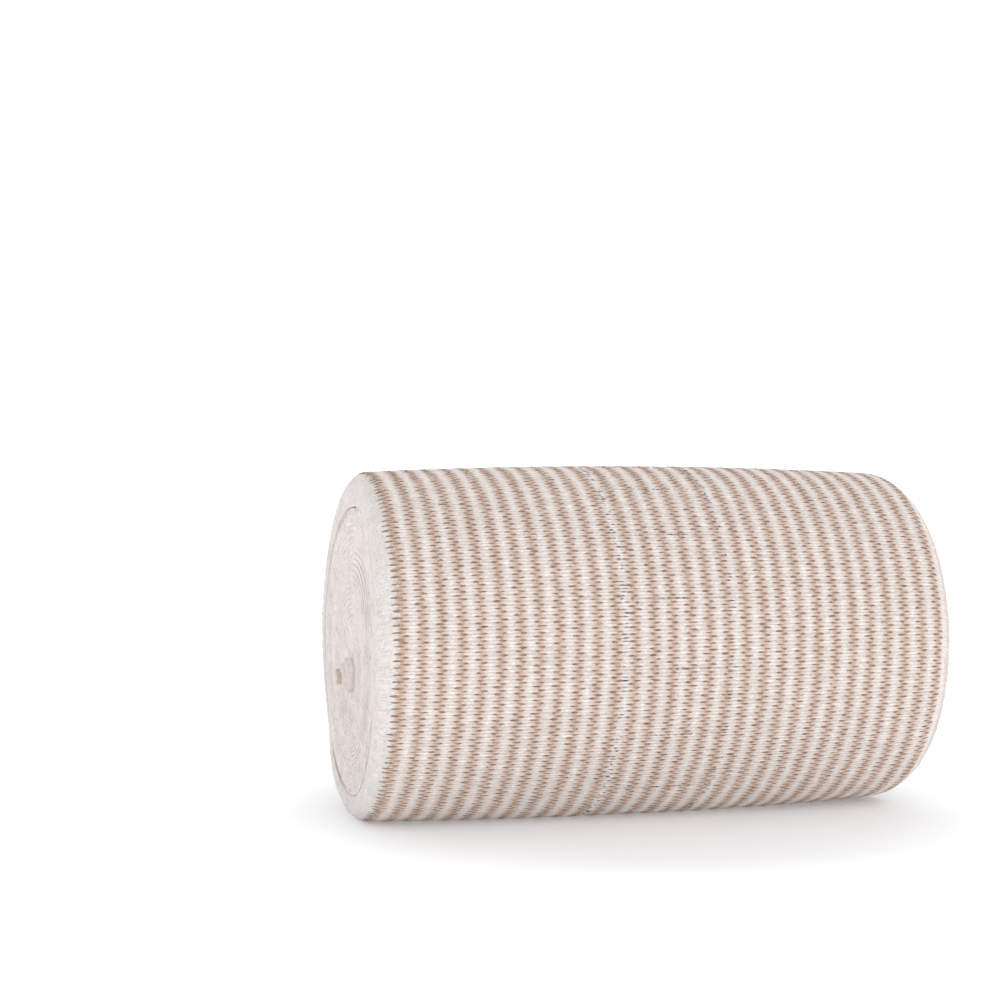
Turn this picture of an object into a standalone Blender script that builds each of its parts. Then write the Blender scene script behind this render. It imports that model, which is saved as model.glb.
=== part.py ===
"""Compression bandage: one woven elastic strip wound on itself, lying on its side.

The real thing is a single piece, so the model is a single body: a strip of stretch cloth
that winds out from a small eye, turn over turn, to a free end at the lower back. The
outermost turn bulges along its length, its selvedges curl in over both ends of the roll,
the core sags below the middle of the roll and the underside is pressed flat.

Metres, +Z up. The roll's axis runs along X and its underside lies on z = 0, under the
middle of the roll. The end that faces -X is the one with the nub of the first turns.
"""
import math

import bpy
import numpy as np

# Driving dimensions of the strip and of the roll
STRIP_WIDTH = 0.100
ROLL_DIAMETER = 0.0623
CLOTH_THICKNESS = 0.00072
TURN_GAP = 0.00008
EYE_RADIUS = 0.0004
BELLY = 0.00145
END_TAPER = 0.0003
CORE_DROP = 0.0055
FLAT_DEPTH = 0.0011
RING_LEAN = 0.0162
LEFT_TILT = 0.05
SELVEDGE_WIDTH = 0.0022
FREE_END_ANGLE = math.radians(-35.0)

# The nub: the first turns stand out of the left end
NUB_HEIGHT = 0.0021
NUB_RADIUS = 0.0024
NUB_BLEND = 0.0012

# How the outermost turn's selvedges curl in over the ends of the roll
CURL_COLUMNS = ("bend_radius", "bend_angle", "tail", "bend_steps")
CURLS = {
    "left": (0.0021, math.radians(90.0), 0.0017, 3),
    "right": (0.0056, math.radians(75.0), 0.0, 3),
}
CURL_RUN_IN = 0.0020
CURL_CLEARANCE = 0.0008
CURL_BLEND = 0.12

# Shallow rings on the ends, where a few turns are wound further in or out. Each radius is
# a share of the roll's radius and inset is positive into the roll
RING_COLUMNS = ("radius_share", "inset", "spread")
RINGS = {
    "left": ((0.64, 0.0006, 0.0009), (0.50, -0.0003, 0.0022), (0.27, 0.0004, 0.0014)),
    "right": ((0.72, 0.0005, 0.0012), (0.45, -0.0004, 0.0026), (0.20, 0.0007, 0.0020)),
}

# How finely the strip is cut up: segments for each turn, and stations across the strip
CORE_SEGMENTS = 14
INNER_SEGMENTS = 28
OUTER_SEGMENTS = 56
CORE_RADIUS = 0.009
BELLY_TURNS = 6
LEAD_IN_SEGMENTS = 8
FLAT_STATIONS = (-0.45, 0.0, 0.45)

TURN_PITCH = CLOTH_THICKNESS + TURN_GAP
HALF_WIDTH = STRIP_WIDTH / 2
END_RADIUS = ROLL_DIAMETER / 2 - BELLY
BELLY_FOOT = END_RADIUS - BELLY_TURNS * TURN_PITCH
FIRST_RADIUS = EYE_RADIUS + CLOTH_THICKNESS
CLOTH_COLOUR = (0.72, 0.61, 0.55, 1.0)


def smooth(share):
    """A soft step: 0 below 0, 1 above 1 and level at both."""
    share = min(max(share, 0.0), 1.0)
    return share * share * (3.0 - 2.0 * share)


def curl(side):
    """The row of the curl table for one side, by column name."""
    return dict(zip(CURL_COLUMNS, CURLS[side]))


def curl_length(side):
    """Length of cloth from the curl's first station to the selvedge."""
    row = curl(side)
    return CURL_RUN_IN + row["bend_radius"] * row["bend_angle"] + row["tail"]


def curl_point(side, along):
    """How far out and how far down the curl has gone after a length of cloth."""
    row = curl(side)
    radius = row["bend_radius"]
    angle = min(max((along - CURL_RUN_IN) / radius, 0.0), row["bend_angle"])
    tail = max(along - CURL_RUN_IN - radius * row["bend_angle"], 0.0)
    out = min(along, CURL_RUN_IN) + radius * math.sin(angle) + tail * math.cos(angle)
    down = radius * (1.0 - math.cos(angle)) + tail * math.sin(angle)
    return out, down


def curl_start(side):
    """Distance from the middle of the strip to the curl's first station."""
    row = curl(side)
    widest = min(row["bend_angle"], math.pi / 2)
    return HALF_WIDTH - CURL_RUN_IN - row["bend_radius"] * math.sin(widest)


def room_under_curl(side, turn):
    """How far a turn's selvedge is set back so that it clears the curl over it.

    turn counts the turns that lie over it. Below the bend the cloth of the curl hangs
    straight down, and past its edge the turns come out to the end of the roll again.
    """
    row = curl(side)
    radius = row["bend_radius"]
    depth = turn * TURN_PITCH
    reach = curl_point(side, curl_length(side))[1]
    if depth > reach + TURN_PITCH / 2:
        return 0.0
    if depth > radius:
        return TURN_PITCH + CURL_CLEARANCE
    hollow = radius - TURN_PITCH
    inside = math.sqrt(max(hollow ** 2 - (radius - depth) ** 2, 0.0))
    return radius - inside + CURL_CLEARANCE


def set_back(side, turns_left):
    """The set-back of a selvedge, which changes softly after each whole turn."""
    turn = max(math.floor(turns_left + 1e-9), 1)
    before = room_under_curl(side, max(turn - 1, 1))
    share = smooth((turns_left - turn) / CURL_BLEND)
    return before + (room_under_curl(side, turn) - before) * share


def ring_inset(side, radius):
    """How far the rings on an end and the nub move a selvedge into the roll."""
    inset = 0.0
    for values in RINGS[side]:
        ring = dict(zip(RING_COLUMNS, values))
        distance = (radius - ring["radius_share"] * END_RADIUS) / ring["spread"]
        inset += ring["inset"] * math.exp(-distance * distance)
    if side == "left":
        inset -= NUB_HEIGHT * smooth((NUB_RADIUS + NUB_BLEND - radius) / NUB_BLEND)
    return inset


def selvedge(side, turns_left):
    """Distance from the middle of the strip to the edge of a turn that lies flat."""
    radius = END_RADIUS - TURN_PITCH * turns_left
    return HALF_WIDTH - set_back(side, turns_left) - ring_inset(side, radius)


def bulge(place, turns_left):
    """How far a turn stands above its ends at a place along the roll."""
    return BELLY * (1.0 - (place / HALF_WIDTH) ** 2) * (1.0 - turns_left / BELLY_TURNS)


def curl_stations(side, turns_left):
    """Places and drops of the stations of a curled edge, from the flat part outwards.

    The outermost turn is curled all the way. Where it dives under the free end its edge
    draws back along the same path, until it lies flat with its edge under the curl.
    """
    row = curl(side)
    bend = row["bend_radius"] * row["bend_angle"]
    stops = [0.0] + [CURL_RUN_IN + bend * step / row["bend_steps"]
                     for step in range(row["bend_steps"] + 1)]
    if row["tail"] > 0.0:
        stops.append(curl_length(side))
    flat_length = HALF_WIDTH - room_under_curl(side, 1) - curl_start(side)
    share = smooth((1.0 - turns_left) / CURL_BLEND)
    length = flat_length + (curl_length(side) - flat_length) * share
    points = [curl_point(side, stop * length / curl_length(side)) for stop in stops]
    return [(curl_start(side) + out, down) for out, down in points]


def section(turns_left):
    """One section across the strip, as pairs of place along X and radius.

    Inner turns have a station at each selvedge, the turns that take up the belly one
    more in the middle, and the outermost turn has its curls and its flat stations.
    """
    radius = END_RADIUS - TURN_PITCH * turns_left
    if turns_left > 1.0 + (LEAD_IN_SEGMENTS + 0.5) / OUTER_SEGMENTS:
        points = [(-selvedge("left", turns_left), radius)]
        if turns_left < BELLY_TURNS:
            points.append((0.0, radius + bulge(0.0, turns_left)))
        points.append((selvedge("right", turns_left), radius))
        return points
    left = curl_stations("left", turns_left)
    right = curl_stations("right", turns_left)
    stations = [(-place, down) for place, down in reversed(left)]
    stations += [(share * HALF_WIDTH, 0.0) for share in FLAT_STATIONS]
    stations += right
    return [(place, radius + bulge(place, turns_left) - down) for place, down in stations]


def section_places():
    """How many turns are left to the free end at each section, from the core outwards.

    Sections of neighbouring turns lie at the same angles, and a finer turn keeps the
    angles of the coarser one under it, so that no flat facet cuts through the next turn.
    """
    first = math.floor((END_RADIUS - FIRST_RADIUS) / TURN_PITCH * CORE_SEGMENTS)
    core_ends = math.ceil((END_RADIUS - CORE_RADIUS) / TURN_PITCH) * CORE_SEGMENTS
    core_ends = min(core_ends, first)
    inner_starts = core_ends * INNER_SEGMENTS // CORE_SEGMENTS
    lead_in = OUTER_SEGMENTS + LEAD_IN_SEGMENTS
    inner_ends = lead_in * INNER_SEGMENTS // OUTER_SEGMENTS
    places = [step / CORE_SEGMENTS for step in range(first, core_ends, -1)]
    places += [step / INNER_SEGMENTS for step in range(inner_starts, inner_ends, -1)]
    places += [step / OUTER_SEGMENTS for step in range(lead_in, -1, -1)]
    return places


def join_sections(low, low_places, high, high_places):
    """Faces between two sections, which may have unlike numbers of stations.

    Like sections are joined by four-sided faces. Between unlike ones, triangles step
    along whichever section has its next station nearer.
    """
    if len(low) == len(high):
        return [(low[i], high[i], high[i + 1], low[i + 1]) for i in range(len(low) - 1)]
    faces = []
    i = j = 0
    while i < len(low) - 1 or j < len(high) - 1:
        low_next = low_places[i + 1] if i < len(low) - 1 else math.inf
        high_next = high_places[j + 1] if j < len(high) - 1 else math.inf
        if low_next < high_next:
            faces.append((low[i], high[j], low[i + 1]))
            i += 1
        else:
            faces.append((low[i], high[j], high[j + 1]))
            j += 1
    return faces


def wound_sheet():
    """The outer face of the wound strip, as an open surface lofted along the spiral.

    The angle grows with the turns that are wound, and the radius by one pitch a turn.
    """
    verts = []
    faces = []
    last_ids = last_places = None
    for turns_left in section_places():
        angle = FREE_END_ANGLE - 2.0 * math.pi * turns_left
        points = section(turns_left)
        ids = list(range(len(verts), len(verts) + len(points)))
        places = [place for place, radius in points]
        verts += [(place, radius * math.cos(angle), radius * math.sin(angle))
                  for place, radius in points]
        if last_ids:
            faces += join_sections(last_ids, last_places, ids, places)
        last_ids = ids
        last_places = places
    mesh = bpy.data.meshes.new("strip_face")
    mesh.from_pydata(verts, [], faces)
    mesh.update()
    return mesh


def level_radius(radius, place):
    """The radius that a point of the roll has at the ends, where there is no belly."""
    height = END_RADIUS - BELLY_FOOT
    level = BELLY_FOOT + (radius - BELLY_FOOT) * height / (height + bulge(place, 0.0))
    return np.where(radius > BELLY_FOOT, level, radius)


def sunk(place, radius, angle):
    """Height over the roll's axis, with the taper of the roll and its sunken core."""
    taper = 1.0 - END_TAPER / END_RADIUS * place / HALF_WIDTH
    depth = 1.0 - level_radius(radius, place) / END_RADIUS
    return radius * taper * np.sin(angle) - CORE_DROP * depth


def outer_face(place, angle):
    """Radius and height over the axis of the outermost turn's face."""
    turns_left = np.mod(FREE_END_ANGLE - angle + 1e-6, 2.0 * math.pi) / (2.0 * math.pi)
    radius = END_RADIUS - TURN_PITCH * turns_left + bulge(place, turns_left)
    return radius, sunk(place, radius, angle)


def settle(points):
    """Turns the evenly wound roll into one that has lain on its side.

    Every step keeps the order of the turns. The roll tapers a little along its length.
    Inner turns sink in proportion to their depth in the roll. Where the outermost face
    would reach below the floor it is lifted to it, and the turns that take up the belly
    by less and less. The rings of the roll lean, and the near half of the left end is
    wound a little further out.
    """
    place, across, up = points.T.copy()
    radius = np.hypot(across, up)
    angle = np.arctan2(up, across)
    axis_height = -outer_face(0.0, -math.pi / 2)[1] - FLAT_DEPTH
    outer_radius, outer_up = outer_face(place, angle)
    lift = np.maximum(-axis_height - outer_up, 0.0)
    height_share = ((level_radius(radius, place) - BELLY_FOOT)
                    / (level_radius(outer_radius, place) - BELLY_FOOT))
    across = across * (1.0 - END_TAPER / END_RADIUS * place / HALF_WIDTH)
    up = sunk(place, radius, angle) + lift * np.clip(height_share, 0.0, 1.0)
    first_thread = -HALF_WIDTH + SELVEDGE_WIDTH
    askew = np.clip((first_thread - place) / SELVEDGE_WIDTH, 0.0, 1.0)
    place = place + RING_LEAN * up + LEFT_TILT * np.minimum(across, 0.0) * askew
    settled = np.stack((place, across, up + axis_height), axis=1)
    middle = (settled.min(axis=0) + settled.max(axis=0)) / 2
    settled[:, :2] -= middle[:2]
    return settled


def cloth_material():
    """Matt, slightly pinkish off-white stretch cloth."""
    material = bpy.data.materials.new("elastic_cloth")
    material.use_nodes = True
    shader = material.node_tree.nodes["Principled BSDF"]
    shader.inputs["Base Color"].default_value = CLOTH_COLOUR
    shader.inputs["Roughness"].default_value = 0.9
    shader.inputs["Metallic"].default_value = 0.0
    return material


def wound_strip(collection):
    """The whole bandage: the wound face given the cloth's thickness, then settled."""
    face = bpy.data.objects.new("strip_face", wound_sheet())
    collection.objects.link(face)
    wall = face.modifiers.new("cloth", "SOLIDIFY")
    wall.thickness = CLOTH_THICKNESS
    wall.offset = -1.0
    wall.use_even_offset = True
    wall.use_quality_normals = True
    bpy.context.view_layer.update()
    evaluated = face.evaluated_get(bpy.context.evaluated_depsgraph_get())
    mesh = bpy.data.meshes.new_from_object(evaluated)
    bpy.data.objects.remove(face)
    coordinates = np.empty(len(mesh.vertices) * 3)
    mesh.vertices.foreach_get("co", coordinates)
    mesh.vertices.foreach_set("co", settle(coordinates.reshape(-1, 3)).ravel())
    mesh.update()
    mesh.shade_smooth()
    mesh.set_sharp_from_angle(angle=math.radians(40.0))
    mesh.materials.append(cloth_material())
    strip = bpy.data.objects.new("wound_strip", mesh)
    collection.objects.link(strip)
    return strip


for old in list(bpy.data.objects):
    bpy.data.objects.remove(old)
bandage = bpy.data.collections.new("compression_bandage")
bpy.context.scene.collection.children.link(bandage)
wound_strip(bandage)
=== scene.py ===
"""Compression bandage: a roll of striped woven stretch cloth lying on its side.

Metres, +Z up. The roll's axis runs along X and it rests on z = 0. The sections follow the
roll as it is made: the wound strip first, then the threads that float on its face, the
selvedges, the printed marks and the fuzz, and last the board, the light and the camera.
"""
import math

import bpy
import numpy as np
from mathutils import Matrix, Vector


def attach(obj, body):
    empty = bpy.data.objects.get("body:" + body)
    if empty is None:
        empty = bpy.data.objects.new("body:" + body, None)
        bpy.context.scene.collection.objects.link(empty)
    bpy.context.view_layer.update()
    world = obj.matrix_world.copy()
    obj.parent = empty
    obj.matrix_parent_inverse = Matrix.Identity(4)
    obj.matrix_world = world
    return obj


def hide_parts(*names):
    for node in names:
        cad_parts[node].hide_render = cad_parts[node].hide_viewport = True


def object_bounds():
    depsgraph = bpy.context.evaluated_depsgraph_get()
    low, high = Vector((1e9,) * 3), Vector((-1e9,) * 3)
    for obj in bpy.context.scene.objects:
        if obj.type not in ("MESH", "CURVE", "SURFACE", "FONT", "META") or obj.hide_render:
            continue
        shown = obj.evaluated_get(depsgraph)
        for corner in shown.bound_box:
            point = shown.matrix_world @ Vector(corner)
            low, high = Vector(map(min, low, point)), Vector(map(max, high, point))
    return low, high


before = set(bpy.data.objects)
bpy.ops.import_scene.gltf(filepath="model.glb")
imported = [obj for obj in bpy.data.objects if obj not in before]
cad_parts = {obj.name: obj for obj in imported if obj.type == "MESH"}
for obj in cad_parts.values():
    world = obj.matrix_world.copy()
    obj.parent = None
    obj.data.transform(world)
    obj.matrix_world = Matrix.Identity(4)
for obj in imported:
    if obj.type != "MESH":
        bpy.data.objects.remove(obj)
cad_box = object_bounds()

# Wound strip
# One strip of stretch cloth, woven with rubber-cored warp, wound by machine on itself.
# Nothing holds the roll: the last turn's selvedges curl in over both ends of it.
STRIP_WIDTH = 0.100
ROLL_DIAMETER = 0.0623
CLOTH_THICKNESS = 0.00072
TURN_PITCH = 0.00080
EYE_RADIUS = 0.0004
BELLY = 0.00145
BELLY_TURNS = 6
END_TAPER = 0.0003
CORE_DROP = 0.0055
FLAT_DEPTH = 0.0011
RING_LEAN = 0.0162
RING_WAVE = 0.0004
LEFT_TILT = 0.05
PLAIN_SELVEDGE = 0.0022
FREE_END_ANGLE = math.radians(-35.0)
HALF_WIDTH = STRIP_WIDTH / 2
END_RADIUS = ROLL_DIAMETER / 2 - BELLY
BELLY_FOOT = END_RADIUS - BELLY_TURNS * TURN_PITCH

# Columns: bend radius, bend angle and straight tail of the curl, for the left and right end
CURL_RADIUS = np.array((0.0021, 0.0056))
CURL_ANGLE = np.radians((90.0, 75.0))
CURL_TAIL = np.array((0.0026, 0.0))
CURL_RUN_IN = 0.0020
CURL_CLEARANCE = 0.0008
CURL_BLEND = 0.12
LEAD_IN = 0.10
FREE_END_PRESS = 0.06
FREE_END_SHARE = 0.4
FREE_END_SINK = 0.35
DEEPEST_HOLLOW = 0.0042
CURL_ENDS = 1.0 + LEAD_IN
CURL_START = HALF_WIDTH - CURL_RUN_IN - CURL_RADIUS * np.sin(CURL_ANGLE)
CURL_LENGTH = CURL_RUN_IN + CURL_RADIUS * CURL_ANGLE + CURL_TAIL

# Columns: radius as a share of the roll's, inset into the roll, and spread of a shallow ring
END_RINGS = {
    0: ((0.64, 0.0003, 0.0024), (0.48, -0.0003, 0.0028), (0.27, 0.0003, 0.0026)),
    1: ((0.72, 0.0003, 0.0024), (0.45, -0.0004, 0.0032), (0.20, 0.0005, 0.0026)),
}
NUB_HEIGHT = 0.0025
NUB_RADIUS = 0.0034
STUB_HEIGHT = 0.0004
STUB_TURNS = 0.8
STUB_RAMP = 0.3

# Columns: reach, waves in each turn, phase at the right end, and phase at both ends. The
# waves are close to whole numbers, so that turns that lie side by side stray together
FELT_WAVES = ((0.00008, 2.02, 0.3, 0.0), (0.00004, 5.03, 0.0, 0.1), (0.00002, 11.04, 0.5, 0.0))


def smooth(share):
    """A soft step: the cubic that is 0 below 0, 1 above 1 and level at both."""
    share = np.clip(share, 0.0, 1.0)
    return share * share * (3.0 - 2.0 * share)


def bulge(place, turns_left):
    """Parabola of the belly along the roll, shrinking by turns to nothing at its foot."""
    along = 1.0 - (place / HALF_WIDTH) ** 2
    return BELLY * along * np.clip(1.0 - turns_left / BELLY_TURNS, 0.0, 1.0)


def room_under_curl(end, turn):
    """Set-back of a selvedge under the curl: the bend radius less the hollow's half chord."""
    depth = turn * TURN_PITCH
    radius = CURL_RADIUS[end]
    reach = radius * (1.0 - math.cos(CURL_ANGLE[end])) + CURL_TAIL[end]
    reach = np.minimum(reach, DEEPEST_HOLLOW)
    chord = np.sqrt(np.maximum((radius - TURN_PITCH) ** 2 - (radius - depth) ** 2, 0.0))
    room = np.where(depth > radius, TURN_PITCH, radius - chord) + CURL_CLEARANCE
    return np.where(depth > reach + TURN_PITCH / 2, 0.0, room)


def pressed(turns_left):
    """Share by which the last stretch of the free end is pressed into the roll."""
    return smooth((FREE_END_PRESS - turns_left) / FREE_END_PRESS)


def drawn_in(turns_left):
    """How far the curls move into the roll where the turn dives under the free end."""
    under = smooth((turns_left - 1.0 + CURL_BLEND) / CURL_BLEND)
    under = under * smooth((CURL_ENDS - turns_left) / LEAD_IN)
    share = (1.0 - FREE_END_SHARE) * under + FREE_END_SHARE * pressed(turns_left)
    return TURN_PITCH * share


def uneven(turns_left, end):
    """How far the felted selvedges stray, as a sum of sines along the strip."""
    return sum(reach * np.sin(2 * math.pi * (waves * turns_left + phase * end + start))
               for reach, waves, phase, start in FELT_WAVES)


def edge_reach(end, turns_left):
    """Cloth from the strip's middle line to one selvedge, at each number of turns left.

    The outermost turn reaches along its curl, and draws back along it once it lies under
    the free end. Turns inside it reach to the end of the roll, less their room under the
    curl and the shallow rings. At the left end the nub, a dome, and the stub of the first
    fold on it stand out.
    """
    radius = END_RADIUS - TURN_PITCH * turns_left
    turn = np.maximum(np.floor(turns_left + 1e-9), 1.0)
    before = room_under_curl(end, np.maximum(turn - 1.0, 1.0))
    step = smooth((turns_left - turn) / CURL_BLEND)
    inset = before + (room_under_curl(end, turn) - before) * step
    inset = inset + uneven(turns_left, end)
    for share, depth, spread in END_RINGS[end]:
        inset = inset + depth * np.exp(-((radius - share * END_RADIUS) / spread) ** 2)
    if end == 0:
        dome = np.sqrt(np.clip(1.0 - (radius / NUB_RADIUS) ** 2, 0.0, 1.0))
        stub = smooth((turns_left - TURNS + STUB_TURNS) / STUB_RAMP)
        inset = inset - NUB_HEIGHT * dome - STUB_HEIGHT * stub
    flat = HALF_WIDTH - room_under_curl(end, 1.0) - CURL_START[end]
    curled = smooth((CURL_ENDS - turns_left) / LEAD_IN)
    length = flat + (CURL_LENGTH[end] - flat) * curled - drawn_in(turns_left)
    return np.where(turns_left < CURL_ENDS, CURL_START[end] + length, HALF_WIDTH - inset)


def sunk(place, radius, angle):
    """Height over the axis: radius times sine, less the core's drop times the depth."""
    height = END_RADIUS - BELLY_FOOT
    level = BELLY_FOOT + (radius - BELLY_FOOT) * height / (height + bulge(place, 0.0))
    level = np.where(radius > BELLY_FOOT, level, radius)
    taper = 1.0 - END_TAPER / END_RADIUS * place / HALF_WIDTH
    return radius * taper * np.sin(angle) - CORE_DROP * (1.0 - level / END_RADIUS), level


BELOW = ((FREE_END_ANGLE + math.pi / 2) % (2 * math.pi)) / (2 * math.pi)
AXIS_HEIGHT = -sunk(0.0, END_RADIUS - TURN_PITCH * BELOW + bulge(0.0, BELOW),
                    -math.pi / 2)[0] - FLAT_DEPTH


def settle(place, radius, angle):
    """Wound roll to resting roll: taper, sunken core, pressed underside, leaning rings.

    Halfway in, where the turns are slackest, they lie up to RING_WAVE out of round, in two
    waves across and three up and down.
    """
    turns_over = np.mod(FREE_END_ANGLE - angle + 1e-6, 2 * math.pi) / (2 * math.pi)
    outer = END_RADIUS - TURN_PITCH * turns_over + bulge(place, turns_over)
    outer_up, outer_level = sunk(place, outer, angle)
    up, level = sunk(place, radius, angle)
    lift = np.maximum(-AXIS_HEIGHT - outer_up, 0.0)
    up = up + lift * np.clip((level - BELLY_FOOT) / (outer_level - BELLY_FOOT), 0.0, 1.0)
    across = radius * np.cos(angle) * (1.0 - END_TAPER / END_RADIUS * place / HALF_WIDTH)
    share = np.clip(radius / END_RADIUS, 0.0, 1.0)
    slack = RING_WAVE * 4.0 * share * (1.0 - share)
    across = across + slack * np.sin(2.0 * angle + 1.3)
    up = up + slack * np.sin(3.0 * angle + 0.4)
    askew = np.clip((PLAIN_SELVEDGE - HALF_WIDTH - place) / PLAIN_SELVEDGE, 0.0, 1.0)
    place = place + RING_LEAN * up + LEFT_TILT * np.minimum(across, 0.0) * askew
    return np.stack((place, across, up + AXIS_HEIGHT), axis=-1)


def on_strip(cross, turns_left, depth):
    """Points of the wound strip, from cloth coordinates.

    cross is the cloth's length from the middle line, negative to the left. The path
    across the outermost turn is a line, an arc of the curl's radius and a straight tail.
    depth is measured inwards, square to that path, and the angle grows by a whole
    circle for each turn wound.
    """
    end = (cross > 0.0).astype(int)
    side = np.where(cross > 0.0, 1.0, -1.0)
    out = np.abs(cross)
    bent = turns_left < CURL_ENDS
    line = CURL_START[end] + CURL_RUN_IN - drawn_in(turns_left)
    turned = np.clip((out - line) / CURL_RADIUS[end], 0.0, CURL_ANGLE[end]) * bent
    tail = np.maximum(out - line - CURL_RADIUS[end] * CURL_ANGLE[end], 0.0) * bent
    place = np.where(bent, np.minimum(out, line), out)
    place = place + CURL_RADIUS[end] * np.sin(turned) + tail * np.cos(turned)
    drop = CURL_RADIUS[end] * (1.0 - np.cos(turned)) + tail * np.sin(turned)
    radius = END_RADIUS - TURN_PITCH * turns_left + bulge(place, turns_left) - drop
    depth = depth + FREE_END_SINK * (CLOTH_THICKNESS - depth) * pressed(turns_left)
    place = place - depth * np.sin(turned)
    radius = radius - depth * np.cos(turned)
    return settle(side * place, radius, FREE_END_ANGLE - 2 * math.pi * turns_left)


def new_piece(name, points, faces, material, smooth_faces=True):
    """A piece at the origin from an array of points and a list of face index arrays."""
    mesh = bpy.data.meshes.new(name)
    corners = np.concatenate([array.ravel() for array in faces]).astype(np.int32)
    sizes = np.concatenate([np.full(len(array), array.shape[1]) for array in faces])
    starts = np.concatenate(([0], np.cumsum(sizes)[:-1])).astype(np.int32)
    mesh.vertices.add(len(points))
    mesh.vertices.foreach_set("co", points.astype(np.float32).ravel())
    mesh.loops.add(len(corners))
    mesh.loops.foreach_set("vertex_index", corners)
    mesh.polygons.add(len(sizes))
    mesh.polygons.foreach_set("loop_start", starts)
    mesh.polygons.foreach_set("use_smooth", np.full(len(sizes), smooth_faces))
    mesh.update(calc_edges=True)
    mesh.validate()
    mesh.materials.append(material)
    piece = bpy.data.objects.new(name, mesh)
    bpy.context.scene.collection.objects.link(piece)
    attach(piece, "root")
    return piece


def paint(piece, name, values):
    """Stores one number or one colour for each point of a piece, for its material."""
    kind = "FLOAT" if values.ndim == 1 else "FLOAT_COLOR"
    layer = piece.data.attributes.new(name, kind, "POINT")
    layer.data.foreach_set("value" if values.ndim == 1 else "color",
                           values.astype(np.float32).ravel())


# The closed section of the strip has a column for each point: the side that it lies on, its
# share of the way to the selvedge, its distance back from it, and its depth in the cloth
EDGE_POINTS = ((1.0, 0.0), (0.29, 0.29), (0.0, 1.0))
OUTER_EDGE_ROUND = 0.00024
INNER_EDGE_ROUND = 0.00004
INNER_EDGE_THICKNESS = 0.00079


def strip_section(shares, thickness, edge_round):
    """Section loop: across the face, round the right edge, back, round the left edge."""
    shares = np.asarray(shares)
    edge = np.asarray(EDGE_POINTS) * edge_round
    face = [(np.sign(share), abs(share), 0.0, 0.0) for share in shares]
    back = [(np.sign(share), abs(share), 0.0, thickness) for share in shares[::-1]]
    right = [(1.0, 1.0, run, deep) for run, deep in edge]
    right += [(1.0, 1.0, run, thickness - deep) for run, deep in edge[::-1]]
    left = [(-1.0, 1.0, run, thickness - deep) for run, deep in edge]
    left += [(-1.0, 1.0, run, deep) for run, deep in edge[::-1]]
    return np.array(face + right + back + left)


def strip_rows(turns_left, loop):
    """Points and cloth coordinates of a band of sections, rows by section points."""
    turns = turns_left[:, None]
    reach = np.where(loop[:, 0] > 0, edge_reach(1, turns), edge_reach(0, turns))
    cross = np.where(loop[:, 0] > 0, 1.0, -1.0) * (reach * loop[:, 1] - loop[:, 2])
    depth = np.broadcast_to(loop[:, 3], cross.shape)
    turns = np.broadcast_to(turns, cross.shape)
    return on_strip(cross, turns, depth).reshape(-1, 3), cross.ravel(), turns.ravel()


def band_faces(rows, columns, first):
    """Four-sided faces of a closed band: each point with the next in its row and column."""
    row, column = np.meshgrid(np.arange(rows - 1), np.arange(columns), indexing="ij")
    after = (column + 1) % columns
    low = first + row * columns
    corners = (low + column, low + columns + column, low + columns + after, low + after)
    return np.stack(corners, axis=-1).reshape(-1, 4)


def joining_faces(inner, outer, first_inner, first_outer):
    """Triangles between two section loops with unlike numbers of points.

    Both loops run the same way round, so each outer side is joined to the inner point
    at the same share of the loop, and each inner side to the outer point where that
    share is passed.
    """
    near = np.searchsorted(inner, outer, side="right") - 1
    near = np.maximum.accumulate(near)
    after = np.roll(near, -1)
    after[-1] = len(inner)
    steps = np.arange(len(outer))
    wide = np.stack((first_inner + near % len(inner), first_outer + steps,
                     first_outer + (steps + 1) % len(outer)), axis=1)
    moves = np.repeat(steps, after - near)
    offset = np.arange(len(moves)) - np.repeat(np.cumsum(after - near) - (after - near),
                                               after - near)
    start = near[moves] + offset
    narrow = np.stack((first_inner + start % len(inner),
                       first_outer + (moves + 1) % len(outer),
                       first_inner + (start + 1) % len(inner)), axis=1)
    return wide, narrow


OUTER_ROWS = 300
INNER_ROWS_PER_TURN = 72
INNER_SHARES = (-0.97, 0.0, 0.97)
TURNS = 35.7
CURL_COLUMNS = (15, 13)
CURL_CROWDING = 0.8
FLAT_SPAN = (-0.82, 0.76)
FLAT_COLUMNS = 13
curl_shares = {end: (CURL_START[end] + np.linspace(0.0, 1.0, count) ** CURL_CROWDING
                     * CURL_LENGTH[end]) / (CURL_START[end] + CURL_LENGTH[end])
               for end, count in enumerate(CURL_COLUMNS)}
flat_shares = np.linspace(*FLAT_SPAN, FLAT_COLUMNS)
outer_loop = strip_section(np.concatenate((-curl_shares[0][-2::-1], flat_shares,
                                           curl_shares[1][:-1])),
                           CLOTH_THICKNESS, OUTER_EDGE_ROUND)
inner_loop = strip_section(INNER_SHARES, INNER_EDGE_THICKNESS, INNER_EDGE_ROUND)
inner_turns = np.linspace(TURNS, CURL_ENDS + 0.01,
                          int(INNER_ROWS_PER_TURN * (TURNS - CURL_ENDS)))
outer_turns = np.linspace(CURL_ENDS, 0.0, OUTER_ROWS)
inner_points, inner_cross, inner_along = strip_rows(inner_turns, inner_loop)
outer_points, outer_cross, outer_along = strip_rows(outer_turns, outer_loop)


def loop_shares(points):
    """Share of the way round a closed section at each of its points, from its first."""
    steps = np.linalg.norm(np.roll(points, -1, axis=0) - points, axis=1)
    return np.concatenate(([0.0], np.cumsum(steps)[:-1])) / steps.sum()


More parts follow.
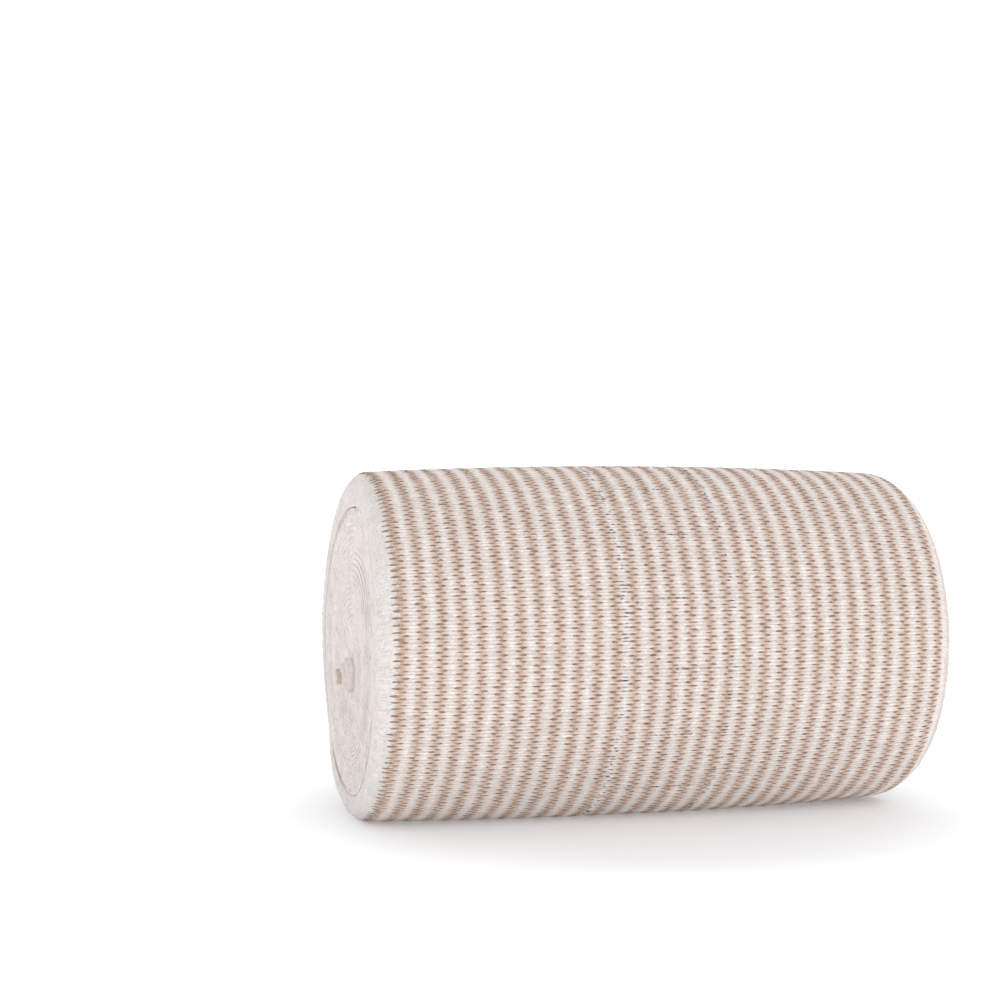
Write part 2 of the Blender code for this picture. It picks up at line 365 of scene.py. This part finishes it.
def cap_faces(columns, first, forwards):
    """Four-sided faces that close a cut end of the strip, from its face to its back."""
    half = columns // 2
    top = first + (np.arange(half) - 3) % columns
    back = first + (columns - 4 - np.arange(half)) % columns
    faces = np.stack((top[:-1], top[1:], back[1:], back[:-1]), axis=1)
    return faces[:, ::-1] if forwards else faces


STRIPE_PITCH = 0.003229
FIRST_STRIPE = -0.0478
STRIPES = 30
# Off-white ground darkened as painted shade of the valleys between the floats
VALLEY_PAINTED_SHADE = (0.66, 0.565, 0.515, 1.0)
CLOTH_TAN = (0.57, 0.43, 0.35, 1.0)
SELVEDGE_WHITE = (0.78, 0.725, 0.70, 1.0)
SMUDGED_CLOTH = (0.66, 0.56, 0.52, 1.0)
# Dark tan painted shade for the left end's groove, the nub's foot and the core's eye
PAINTED_SHADE_TAN = (0.42, 0.31, 0.22, 1.0)


def link_math(tree, operation, *values):
    """A math node whose inputs are sockets or plain numbers. Returns its output."""
    node = tree.nodes.new("ShaderNodeMath")
    node.operation = operation
    for slot, value in zip(node.inputs, values):
        if isinstance(value, (int, float)):
            slot.default_value = value
        else:
            tree.links.new(value, slot)
    return node.outputs["Value"]


def soft_step(tree, value, low, high):
    """A smooth map of a socket's value from low..high to 0..1."""
    node = tree.nodes.new("ShaderNodeMapRange")
    node.interpolation_type = "SMOOTHSTEP"
    tree.links.new(value, node.inputs["Value"])
    node.inputs["From Min"].default_value = low
    node.inputs["From Max"].default_value = high
    return node.outputs["Result"]


def blend_colours(tree, share, first, second):
    """A mix of two colours, each a socket or a plain colour, by a socket's share."""
    node = tree.nodes.new("ShaderNodeMix")
    node.data_type = "RGBA"
    tree.links.new(share, node.inputs["Factor"])
    for slot, colour in ((node.inputs[6], first), (node.inputs[7], second)):
        if isinstance(colour, tuple):
            slot.default_value = colour
        else:
            tree.links.new(colour, slot)
    return node.outputs[2]


def object_noise(tree, scale, detail, stretch=(1.0, 1.0, 1.0)):
    """Noise on Object coordinates, with its own stretch along each axis."""
    coordinates = tree.nodes.new("ShaderNodeTexCoord")
    mapping = tree.nodes.new("ShaderNodeMapping")
    mapping.inputs["Scale"].default_value = stretch
    noise = tree.nodes.new("ShaderNodeTexNoise")
    noise.inputs["Scale"].default_value = scale
    noise.inputs["Detail"].default_value = detail
    tree.links.new(coordinates.outputs["Object"], mapping.inputs["Vector"])
    tree.links.new(mapping.outputs["Vector"], noise.inputs["Vector"])
    return noise.outputs["Fac"]


def attribute(tree, name):
    """The node that reads a value painted on the points."""
    node = tree.nodes.new("ShaderNodeAttribute")
    node.attribute_name = name
    return node


def bump(tree, shader, height, distance, strength):
    """Raises the surface by a socket's height, in metres at full height."""
    node = tree.nodes.new("ShaderNodeBump")
    node.inputs["Distance"].default_value = distance
    node.inputs["Strength"].default_value = strength
    tree.links.new(height, node.inputs["Height"])
    tree.links.new(node.outputs["Normal"], shader.inputs["Normal"])


def textile(name):
    """A matt Principled material with the soft pinkish sheen of brushed cotton."""
    material = bpy.data.materials.new(name)
    material.use_nodes = True
    shader = material.node_tree.nodes["Principled BSDF"]
    shader.inputs["Roughness"].default_value = 0.92
    shader.inputs["Specular IOR Level"].default_value = 0.25
    shader.inputs["Sheen Weight"].default_value = 0.25
    shader.inputs["Sheen Roughness"].default_value = 0.6
    shader.inputs["Sheen Tint"].default_value = (1.0, 0.93, 0.90, 1.0)
    return material, material.node_tree, shader


def cloth_material():
    """Ground cloth between floats: tan under each stripe, off-white in painted shade between.

    A point's distance to the nearest stripe is its cross length less that stripe's, whose
    number is rounded and held to the stripes that the strip has. Outside the last stripes the
    cloth is plain and smudged, and the painted shade of the left end lies over both.
    """
    material, tree, shader = textile("ground_cloth")
    cross = attribute(tree, "cross").outputs["Fac"]
    number = link_math(tree, "DIVIDE", link_math(tree, "SUBTRACT", cross, FIRST_STRIPE),
                       STRIPE_PITCH)
    whole = link_math(tree, "ROUND", number)
    whole = link_math(tree, "MAXIMUM", link_math(tree, "MINIMUM", whole, STRIPES - 1.0), 0.0)
    away = link_math(tree, "ABSOLUTE", link_math(tree, "SUBTRACT", number, whole))
    open_cloth = soft_step(tree, away, 0.10, 0.24)
    beyond = link_math(tree, "SUBTRACT", number, STRIPES - 1.0)
    beyond = link_math(tree, "MAXIMUM", beyond, link_math(tree, "MULTIPLY", number, -1.0))
    plain = soft_step(tree, beyond, 0.16, 0.26)
    # Between the stripes the ground takes the painted valley shade
    ground = blend_colours(tree, open_cloth, CLOTH_TAN, VALLEY_PAINTED_SHADE)
    ground = blend_colours(tree, plain, ground, SELVEDGE_WHITE)
    smudges = link_math(tree, "ADD", soft_step(tree, object_noise(tree, 260.0, 3.0), 0.4, 0.8),
                        soft_step(tree, object_noise(tree, 1500.0, 2.0), 0.45, 0.75))
    smudged = blend_colours(tree, smudges, ground, SMUDGED_CLOTH)
    mix = link_math(tree, "MULTIPLY", plain, 0.6)
    colour = blend_colours(tree, mix, ground, smudged)
    # Painted shade of the left end, laid over the cloth colour
    painted_shade = attribute(tree, "painted_shade").outputs["Fac"]
    colour = blend_colours(tree, painted_shade, colour, PAINTED_SHADE_TAN)
    tree.links.new(colour, shader.inputs["Base Color"])
    rough = link_math(tree, "ADD", object_noise(tree, 2600.0, 4.0),
                      link_math(tree, "MULTIPLY", object_noise(tree, 800.0, 2.0), 1.5))
    bump(tree, shader, rough, 0.0003, 0.7)
    return material


rng = np.random.default_rng(11)
inner_count = len(inner_loop)
outer_count = len(outer_loop)
first_outer = len(inner_points)
last_inner = first_outer - inner_count
strip_points = np.concatenate((inner_points, outer_points))
wide, narrow = joining_faces(loop_shares(inner_points[-inner_count:]),
                             loop_shares(outer_points[:outer_count]),
                             last_inner, first_outer)
strip_faces = [band_faces(len(inner_turns), inner_count, 0),
               band_faces(len(outer_turns), outer_count, first_outer), wide, narrow,
               cap_faces(inner_count, 0, False),
               cap_faces(outer_count, len(strip_points) - outer_count, True)]
middle = (outer_points.min(axis=0) + outer_points.max(axis=0)) / 2
middle[0] = strip_points[:, 0].max() - cad_box[1][0]
middle[2] = 0.0
wound_cloth = new_piece("wound_cloth", strip_points - middle, strip_faces, cloth_material())
strip_cross = np.concatenate((inner_cross, outer_cross))
strip_turns = np.concatenate((inner_along, outer_along))
paint(wound_cloth, "cross", strip_cross)

# Painted shade on the left end, tinted tan: a line in the groove by the curl on the far
# side, specks of it on the near side, a painted shadow at the nub's near foot, and the first
# fold, in the shaded eye of the core
GROOVE_TURNS = (5.0, 7.1)
GROOVE_FADES = (0.1, 0.2)
CURL_TIP = 0.0007
CURL_TIP_FADE = 0.0003
FAR_FADE = 0.3
NEAR_FADE = 0.4
LINE_STRENGTH = 0.55
SPECK_SHARE = 0.10
SPECK_STRENGTH = 0.9
FOOT_SHADE_STRENGTH = 0.35
FOOT_GAP = 0.0003
FOOT_WIDTH = 0.0004
EYE_SHADE_STRENGTH = 0.65
strip_radius = END_RADIUS - TURN_PITCH * strip_turns
far_side = np.cos(FREE_END_ANGLE - 2 * math.pi * strip_turns)
# Painted shade in the groove between the curl and the face, a line on the far side
groove = (smooth((strip_turns - GROOVE_TURNS[0]) / GROOVE_FADES[0])
          * smooth((GROOVE_TURNS[1] - strip_turns) / GROOVE_FADES[1]))
tip = smooth((-strip_cross - CURL_START[0] - CURL_LENGTH[0] + CURL_TIP) / CURL_TIP_FADE)
groove = np.maximum(groove, tip * (strip_turns < 1.0)) * (strip_cross < 0.0)
specks = (LINE_STRENGTH * smooth(far_side / FAR_FADE)
          + SPECK_STRENGTH * (rng.random(len(strip_turns)) < SPECK_SHARE))
# Painted shadow in a ring at the nub's near foot
foot_shade = FOOT_SHADE_STRENGTH * np.exp(-((strip_radius - NUB_RADIUS - FOOT_GAP) / FOOT_WIDTH) ** 2)
foot_shade = foot_shade * smooth(-far_side / NEAR_FADE) * (strip_cross < 0.0)
# Painted shade of the core's eye, on the first fold
eye_shade = EYE_SHADE_STRENGTH * smooth((strip_turns - TURNS + STUB_TURNS) / STUB_RAMP)
painted_shade = np.maximum(np.maximum(eye_shade, foot_shade),
                     groove * np.minimum(specks, SPECK_STRENGTH))
paint(wound_cloth, "painted_shade", painted_shade)
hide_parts("wound_strip")

# Floats of the weave
# White and tan face threads lie across the strip and float over its stretch warp. Each
# float is a raised lens of soft spun yarn, and the tan ones lie between the white like teeth.
ROW_PITCH = 0.000577
ROWS = round(2 * math.pi * (END_RADIUS + BELLY / 2) / ROW_PITCH)
SEWN_IN = 0.00004
YARN_FLECK = (0.87, 0.84, 0.83, 1.0)
FULL_REACH = CURL_START + CURL_LENGTH
GATHERED_FROM = 0.040
LENS_ROUND = np.array(((-1.0, 0.0), (-0.52, 0.86), (0.52, 0.86), (1.0, 0.0), (0.0, -0.4)))
BLUNT = ((-0.80, 0.82), (0.0, 1.0), (0.80, 0.82))
POINTED = ((-0.60, 0.60), (0.0, 1.0), (0.60, 0.60))


def gathered(cross, turns_left):
    """Cloth near a selvedge, drawn in with it where the strip dives under the free end."""
    end = (cross > 0.0).astype(int)
    reach = np.where(end == 1, edge_reach(1, turns_left), edge_reach(0, turns_left))
    squeeze = (reach - GATHERED_FROM) / (FULL_REACH[end] - GATHERED_FROM)
    out = np.abs(cross)
    drawn = GATHERED_FROM + (out - GATHERED_FROM) * squeeze
    return np.sign(cross) * np.where(out > GATHERED_FROM, drawn, out)


def lens_template(rings):
    """Points and faces of one lens: two tips, and rings of five points between them."""
    ring = len(LENS_ROUND)
    count = len(rings)
    rings = np.concatenate([np.column_stack((np.full(ring, share), LENS_ROUND * size))
                            for share, size in rings])
    points = np.concatenate(([[-1.0, 0.0, 0.0]], rings, [[1.0, 0.0, 0.0]]))
    here = np.arange(ring)
    after = (here + 1) % ring
    last = 1 + ring * (count - 1)
    tips = np.concatenate((np.stack((0 * here, 1 + here, 1 + after), axis=1),
                           np.stack((0 * here + last + ring, last + after, last + here),
                                    axis=1)))
    sides = np.concatenate([
        np.stack((1 + ring * k + here, 1 + ring * (k + 1) + here,
                  1 + ring * (k + 1) + after, 1 + ring * k + after), axis=1)
        for k in range(count - 1)])
    return points, tips, sides


def lay_floats(name, material, rings, cross, turns, half_length, half_width, height, skew,
               colour):
    """Joined lenses laid on the outermost turn, each at its own place and of its own size.

    A lens's length runs across the strip and its width around the roll. skew turns it a
    little, as a share of its width for its whole length.
    """
    points, tips, sides = lens_template(rings)
    along, round_, up = (column[None, :] for column in points.T)
    lens_cross = cross[:, None] + half_length[:, None] * along
    sideways = half_width[:, None] * (round_ + skew[:, None] * along)
    lens_turns = turns[:, None] - sideways / (2 * math.pi * END_RADIUS)
    lens_turns = np.clip(lens_turns, 0.0005, 0.9995)
    depth = SEWN_IN - height[:, None] * up
    placed = on_strip(gathered(lens_cross, lens_turns), lens_turns, depth) - middle
    placed[..., 2] = np.maximum(placed[..., 2], 0.0)
    first = np.arange(len(cross))[:, None, None] * points.shape[0]
    faces = [(first + tips[None]).reshape(-1, 3), (first + sides[None]).reshape(-1, 4)]
    piece = new_piece(name, placed.reshape(-1, 3), faces, material)
    share = np.broadcast_to(along, lens_cross.shape)
    paint(piece, "thread", colour(share).reshape(-1, 4))


def thread_material(name):
    """Soft spun yarn: the painted thread colour, flecked with its shadows."""
    material, tree, shader = textile(name)
    flecks = soft_step(tree, object_noise(tree, 2400.0, 3.0, (0.8, 1.1, 1.1)), 0.35, 0.70)
    shade = tree.nodes.new("ShaderNodeMix")
    shade.data_type = "RGBA"
    shade.blend_type = "MULTIPLY"
    tree.links.new(flecks, shade.inputs["Factor"])
    tree.links.new(attribute(tree, "thread").outputs["Color"], shade.inputs[6])
    shade.inputs[7].default_value = YARN_FLECK
    tree.links.new(shade.outputs[2], shader.inputs["Base Color"])
    bump(tree, shader, object_noise(tree, 3200.0, 3.0, (0.7, 1.0, 1.0)), 0.0002, 0.8)
    return material


def wander(turns, column):
    """Slow drift of a stripe along the strip: two sines with a phase for each stripe."""
    return (0.00005 * np.sin(2 * math.pi * (3.0 * turns + 0.37 * column))
            + 0.00004 * np.sin(2 * math.pi * (13.0 * turns + 0.61 * column)))


def spread(count, amount):
    """Seeded variation around 1 by a normal share."""
    return 1.0 + amount * rng.standard_normal(count)


# White picks run end to end from one stripe to the next. Tan ticks lie in the valleys
# between the picks, by turns to the left and to the right of the stripe's middle line.
# Columns: thread, first row, step aside in rows, centre and half length as shares of the
# stripe pitch, half width and height in metres
FLOAT_COLUMNS = ("name", "pick", "aside", "centre", "half_length", "half_width", "height")
FLOATS = (
    ("white_picks_even", 0, 0.0, 0.47, 0.53, 0.00025, 0.00017),
    ("white_picks_odd", 1, 0.0, 0.53, 0.53, 0.00025, 0.00017),
    ("tan_ticks_even", 0, 0.5, -0.125, 0.235, 0.00023, 0.00020),
    ("tan_ticks_odd", 1, 0.5, 0.125, 0.235, 0.00023, 0.00020),
)
WHITE_YARN = np.array((0.87, 0.845, 0.825, 1.0))
TINTED_YARN = np.array((0.71, 0.56, 0.475, 1.0))
TAN_YARN = np.array((0.50, 0.35, 0.26, 1.0))
# Dark tan painted shade for the ticks' outer tips, where they dip under the white picks
TAN_TIP_PAINTED_SHADE = np.array((0.27, 0.16, 0.095, 1.0))
TAN_TINTS = 0.10
WHITE_TINTS = 0.03
TAN_LENGTHS = 0.12
WHITE_LENGTHS = 0.03
PICK_JITTER = 0.09
CROSS_JITTER = 0.00008


def white_colour(tint, stripe=1.0):
    """Off-white yarn with a tint for each float, stained at its ends by the stripe."""
    def colour(share):
        stain = stripe * smooth((np.abs(share) - 0.44) / 0.34)[..., None]
        mixed = WHITE_YARN * (1.0 - stain) + TINTED_YARN * stain
        return np.clip(mixed * tint[:, None, None], 0.0, 1.0)
    return colour


def tan_colour(tint, outer_tip):
    """Tan yarn darkened by painted shade towards the tip that stands out of the stripe."""
    def colour(share):
        tip = smooth(0.6 + 0.5 * share * outer_tip)[..., None]
        mixed = TAN_YARN * (1.0 - tip) + TAN_TIP_PAINTED_SHADE * tip
        return np.clip(mixed * tint[:, None, None], 0.0, 1.0)
    return colour


white_thread = thread_material("white_yarn")
tan_thread = thread_material("tan_yarn")
for values in FLOATS:
    row = dict(zip(FLOAT_COLUMNS, values))
    is_tan = row["name"].startswith("tan")
    pick, column = np.meshgrid(np.arange(row["pick"], ROWS, 2),
                               np.arange(STRIPES), indexing="ij")
    pick = pick.ravel()
    column = column.ravel()
    count = len(pick)
    turns = (pick + 0.5 + row["aside"] + PICK_JITTER * rng.standard_normal(count)) / ROWS
    cross = (FIRST_STRIPE + STRIPE_PITCH * (column + row["centre"])
             + wander(turns, column) + CROSS_JITTER * rng.standard_normal(count))
    tint = spread(count, TAN_TINTS if is_tan else WHITE_TINTS)
    outer_tip = -1.0 if row["pick"] == 0 else 1.0
    lay_floats(row["name"], tan_thread if is_tan else white_thread,
               POINTED if is_tan else BLUNT, cross, turns,
               row["half_length"] * STRIPE_PITCH
               * spread(count, TAN_LENGTHS if is_tan else WHITE_LENGTHS),
               row["half_width"] * spread(count, 0.10),
               row["height"] * spread(count, 0.12), 0.10 * rng.standard_normal(count),
               tan_colour(tint, outer_tip) if is_tan else white_colour(tint))

# Selvedges
# Outside the last stripe the weave closes up to a plain white edge, whose short picks run
# on around the curl.
SELVEDGE_COLUMNS = ("centre", "half_length", "half_width", "height")
# The selvedge picks are the white yarn darkened as painted shade, against the stronger light
# on the curls
SELVEDGE_PAINTED_SHADE = 0.83
SELVEDGES = {
    "left_selvedge_picks": ((-0.04905, 0.00100, 0.00027, 0.00009),
                            (-0.05045, 0.00085, 0.00028, 0.00011),
                            (-0.05195, 0.00085, 0.00028, 0.00009),
                            (-0.05320, 0.00055, 0.00028, 0.00007)),
    "right_selvedge_picks": ((0.04960, 0.00085, 0.00030, 0.00009),
                             (0.05110, 0.00080, 0.00029, 0.00007)),
}
for name, rows in SELVEDGES.items():
    centre, half_length, half_width, height = (np.repeat(column, ROWS)
                                               for column in np.array(rows).T)
    count = len(centre)
    row = np.tile(np.arange(ROWS), len(rows))
    # Selvedge picks in the white yarn, darkened by painted shade
    lay_floats(name, white_thread, BLUNT, centre + 0.00010 * rng.standard_normal(count),
               (row + 0.5 + 0.12 * rng.standard_normal(count)) / ROWS,
               half_length * spread(count, 0.10), half_width * spread(count, 0.10),
               height * spread(count, 0.20), 0.2 * rng.standard_normal(count),
               white_colour(SELVEDGE_PAINTED_SHADE * spread(count, WHITE_TINTS), 0.0))

# Stretch marks
# Rectangles printed in faint blue along the strip, which turn square when the bandage is
# stretched enough. The ink holds as short dashes between the picks: at random along both
# sides, and along each rung most near its middle.
MARK_LEFT = -0.0108
MARK_RIGHT = 0.0079
MARK_TURNS = 0.0609
FIRST_RUNG = 0.0234
MARK_MIDDLE = -0.0007
MARK_SPREAD = 0.0045
SIDE_SHARE = 0.55
RUNG_DASHES = 20
DASH_LENGTH = 0.00055
DASH_WIDTH = 0.00015
DASH_HEIGHT = 0.00025
INK = np.array((0.03, 0.03, 0.11, 1.0))
sides = np.repeat((MARK_LEFT, MARK_RIGHT), ROWS)
side_rows = np.tile(np.arange(ROWS), 2)
inked = rng.random(len(sides)) < SIDE_SHARE
rungs = np.arange(FIRST_RUNG, 0.98, MARK_TURNS)
dashes = np.linspace(MARK_LEFT, MARK_RIGHT, RUNG_DASHES)
rung_cross, rung_turns = (grid.ravel() for grid in np.meshgrid(dashes, rungs))
rung_rows = np.round(rung_turns * ROWS)
mark_cross = np.concatenate((sides[inked], rung_cross))
mark_rows = np.concatenate((side_rows[inked], rung_rows))
count = len(mark_cross)
ink_share = 0.4 + 0.6 * rng.random(count) ** 1.5
middle_share = np.exp(-((rung_cross - MARK_MIDDLE) / MARK_SPREAD) ** 2)
ink_share[inked.sum():] = middle_share * rng.uniform(0.5, 1.0, len(rung_cross))


def ink_colour(share):
    """Blue ink, paler where less of it has soaked in."""
    weight = (ink_share[:, None] * (1.0 - 0.4 * share ** 2))[..., None]
    return INK * weight + np.array(VALLEY_PAINTED_SHADE) * (1.0 - weight)


lay_floats("stretch_marks", tan_thread, POINTED,
           mark_cross + 0.0003 * rng.standard_normal(count),
           (mark_rows + 0.02 * rng.standard_normal(count)) / ROWS,
           DASH_LENGTH * spread(count, 0.35).clip(0.4, 2.0), np.full(count, DASH_WIDTH),
           np.full(count, DASH_HEIGHT), np.zeros(count), ink_colour)

# Fuzz
# Loose ends of the spun yarn, which felt the cut ends of the roll together and stand off
# the face.
FIBRE_HALF_WIDTH = 0.000028
FACE_FIBRES = 11000
END_FIBRES = 5000
CURL_FIBRES = 2000
FIRST_OPEN_TURN = 5.9
FIBRE_RISE = (0.05, 0.35)
FIBRE_LEAN = (-0.15, 0.25)
FIBRE_TINTS = 0.09
OUTER_FIBRE = (0.0002, 0.0006)
END_FIBRE = (0.0003, 0.0009)


def lay_fibres(name, points, normals, half_length, colour):
    """Joined slivers of three sides, each arched over its point in a random direction."""
    count = len(points)
    normals = normals / np.linalg.norm(normals, axis=1)[:, None]
    along = rng.standard_normal((count, 3))
    along -= (along * normals).sum(axis=1)[:, None] * normals
    along /= np.linalg.norm(along, axis=1)[:, None]
    across = np.cross(normals, along) * FIBRE_HALF_WIDTH
    rise = normals * (half_length * rng.uniform(*FIBRE_RISE, count))[:, None]
    reach = along * half_length[:, None]
    lean = normals * (half_length * rng.uniform(*FIBRE_LEAN, count))[:, None]
    crown = points + rise
    corners = np.stack((points - reach, crown + across, crown + normals * FIBRE_HALF_WIDTH,
                        crown - across, points + reach + lean), axis=1)
    sides = np.array(((1, 2, 4), (2, 3, 4), (3, 1, 4), (2, 1, 0), (3, 2, 0), (1, 3, 0)))
    faces = (np.arange(count)[:, None, None] * 5 + sides[None]).reshape(-1, 3)
    corners[..., 2] = np.maximum(corners[..., 2], 0.0)
    piece = new_piece(name, corners.reshape(-1, 3), [faces], white_thread)
    paint(piece, "thread", np.repeat(colour, 5, axis=0))


def fibre_colour(count):
    """Off-white for each fibre, with a seeded tint."""
    return np.clip(WHITE_YARN * spread(count, FIBRE_TINTS)[:, None], 0.0, 1.0)


def outer_fibres(name, cross, turns):
    """Fibres that stand off the outermost turn, at given cloth coordinates."""
    depth = np.full(len(cross), -0.00008)
    cross = gathered(cross, turns)
    points = on_strip(cross, turns, depth)
    normals = on_strip(cross, turns, depth - 0.0001) - points
    lay_fibres(name, points - middle, normals, rng.uniform(*OUTER_FIBRE, len(cross)),
               fibre_colour(len(cross)))


outer_fibres("face_fuzz", rng.uniform(-0.047, 0.047, FACE_FIBRES),
             rng.uniform(0.005, 0.995, FACE_FIBRES))
for end, name, low, high in ((0, "left_fuzz", -0.0535, -0.0478),
                             (1, "right_fuzz", 0.0478, 0.0518)):
    side = 2.0 * end - 1.0
    turns = TURNS - (TURNS - FIRST_OPEN_TURN) * np.sqrt(rng.random(END_FIBRES))
    cross = side * (edge_reach(end, turns) - 0.00002)
    points = on_strip(cross, turns, 0.0008 * rng.random(END_FIBRES))
    normals = np.tile((side, 0.0, 0.0), (END_FIBRES, 1))
    lay_fibres(name, points - middle, normals, rng.uniform(*END_FIBRE, END_FIBRES),
               fibre_colour(END_FIBRES))
    outer_fibres(name.replace("fuzz", "curl_fuzz"), rng.uniform(low, high, CURL_FIBRES),
                 rng.uniform(0.005, 0.995, CURL_FIBRES))

# Board, light and camera
# A round cove of white board, a large soft light in front and one above, and a weak fill
# at the left end.
COVE_FOOT = 1.15
COVE_BEND = 0.35
COVE_HEIGHT = 1.7
COVE_SEGMENTS = 72
COVE_BEND_STEPS = 20
BOARD_WHITE = (0.86, 0.87, 0.88, 1.0)
NEAR_GLOW = 0.16
FAR_GLOW = 0.30
CAMERA_PLACE = (-0.12293, -0.36394, 0.06186)
CAMERA_YAW = math.radians(15.37)
CAMERA_PITCH = math.radians(-1.11)
CAMERA_LENS = 77.85


def cove():
    """Floor, quarter-circle bend and wall, as a profile turned all the way round."""
    angle = np.linspace(0.0, math.pi / 2, COVE_BEND_STEPS)
    radius = np.concatenate(([0.0], COVE_FOOT + COVE_BEND * np.sin(angle),
                             [COVE_FOOT + COVE_BEND]))
    height = np.concatenate(([0.0], COVE_BEND * (1.0 - np.cos(angle)), [COVE_HEIGHT]))
    around = np.linspace(0.0, 2 * math.pi, COVE_SEGMENTS, endpoint=False)[:, None]
    points = np.stack((radius * np.cos(around), radius * np.sin(around),
                       np.broadcast_to(height, (COVE_SEGMENTS, len(height)))), axis=-1)
    row, column = np.meshgrid(np.arange(COVE_SEGMENTS), np.arange(len(radius) - 1),
                              indexing="ij")
    here = row * len(radius) + column
    beside = (row + 1) % COVE_SEGMENTS * len(radius) + column
    faces = np.stack((here, here + 1, beside + 1, beside), axis=-1).reshape(-1, 4)
    mesh = bpy.data.meshes.new("cove")
    mesh.from_pydata(points.reshape(-1, 3).tolist(), [], faces.tolist())
    mesh.shade_smooth()
    mesh.materials.append(board_material())
    board = bpy.data.objects.new("cove", mesh)
    bpy.context.scene.collection.objects.link(board)


def board_material():
    """White board that glows more away from the roll, so that only its shadow shows."""
    material = bpy.data.materials.new("white_board")
    material.use_nodes = True
    tree = material.node_tree
    shader = tree.nodes["Principled BSDF"]
    shader.inputs["Base Color"].default_value = BOARD_WHITE
    shader.inputs["Roughness"].default_value = 0.8
    shader.inputs["Emission Color"].default_value = (1.0, 1.0, 1.0, 1.0)
    material.cycles.emission_sampling = "NONE"
    coordinates = tree.nodes.new("ShaderNodeTexCoord")
    length = tree.nodes.new("ShaderNodeVectorMath")
    length.operation = "LENGTH"
    tree.links.new(coordinates.outputs["Object"], length.inputs[0])
    glow = soft_step(tree, length.outputs["Value"], 0.045, 0.085)
    glow = link_math(tree, "ADD", NEAR_GLOW, link_math(tree, "MULTIPLY", glow, FAR_GLOW))
    tree.links.new(glow, shader.inputs["Emission Strength"])
    return material


def soft_light(name, place, aim, size, power, colour):
    """A square area light that faces a point."""
    data = bpy.data.lights.new(name, "AREA")
    data.size = size
    data.energy = power
    data.color = colour
    light = bpy.data.objects.new(name, data)
    light.location = place
    direction = np.array(aim) - np.array(place)
    light.rotation_euler = (math.acos(-direction[2] / np.linalg.norm(direction)), 0.0,
                            math.atan2(direction[1], direction[0]) - math.pi / 2)
    bpy.context.scene.collection.objects.link(light)


cove()
ROLL_MIDDLE = (0.0, 0.0, 0.03)
soft_light("key", (-0.05, -1.0, 0.55), ROLL_MIDDLE, 0.8, 1.3, (1.0, 0.97, 0.965))
soft_light("top", (0.1, 0.1, 1.1), ROLL_MIDDLE, 0.9, 1.0, (1.0, 0.96, 0.965))
soft_light("left_fill", (-0.9, -0.2, 0.3), ROLL_MIDDLE, 0.6, 0.15, (1.0, 0.93, 0.94))
world = bpy.data.worlds.new("studio")
world.use_nodes = True
world.node_tree.nodes["Background"].inputs["Color"].default_value = (1.0, 0.99, 0.99, 1.0)
world.node_tree.nodes["Background"].inputs["Strength"].default_value = 0.26
bpy.context.scene.world = world
bpy.context.scene.view_settings.view_transform = "Standard"

camera_data = bpy.data.cameras.new("camera")
camera_data.lens = CAMERA_LENS
camera_data.sensor_width = 36.0
camera_data.clip_start = 0.01
camera = bpy.data.objects.new("camera", camera_data)
camera.location = CAMERA_PLACE
camera.rotation_euler = (math.pi / 2 + CAMERA_PITCH, 0.0, -CAMERA_YAW)
bpy.context.scene.collection.objects.link(camera)
bpy.context.scene.camera = camera
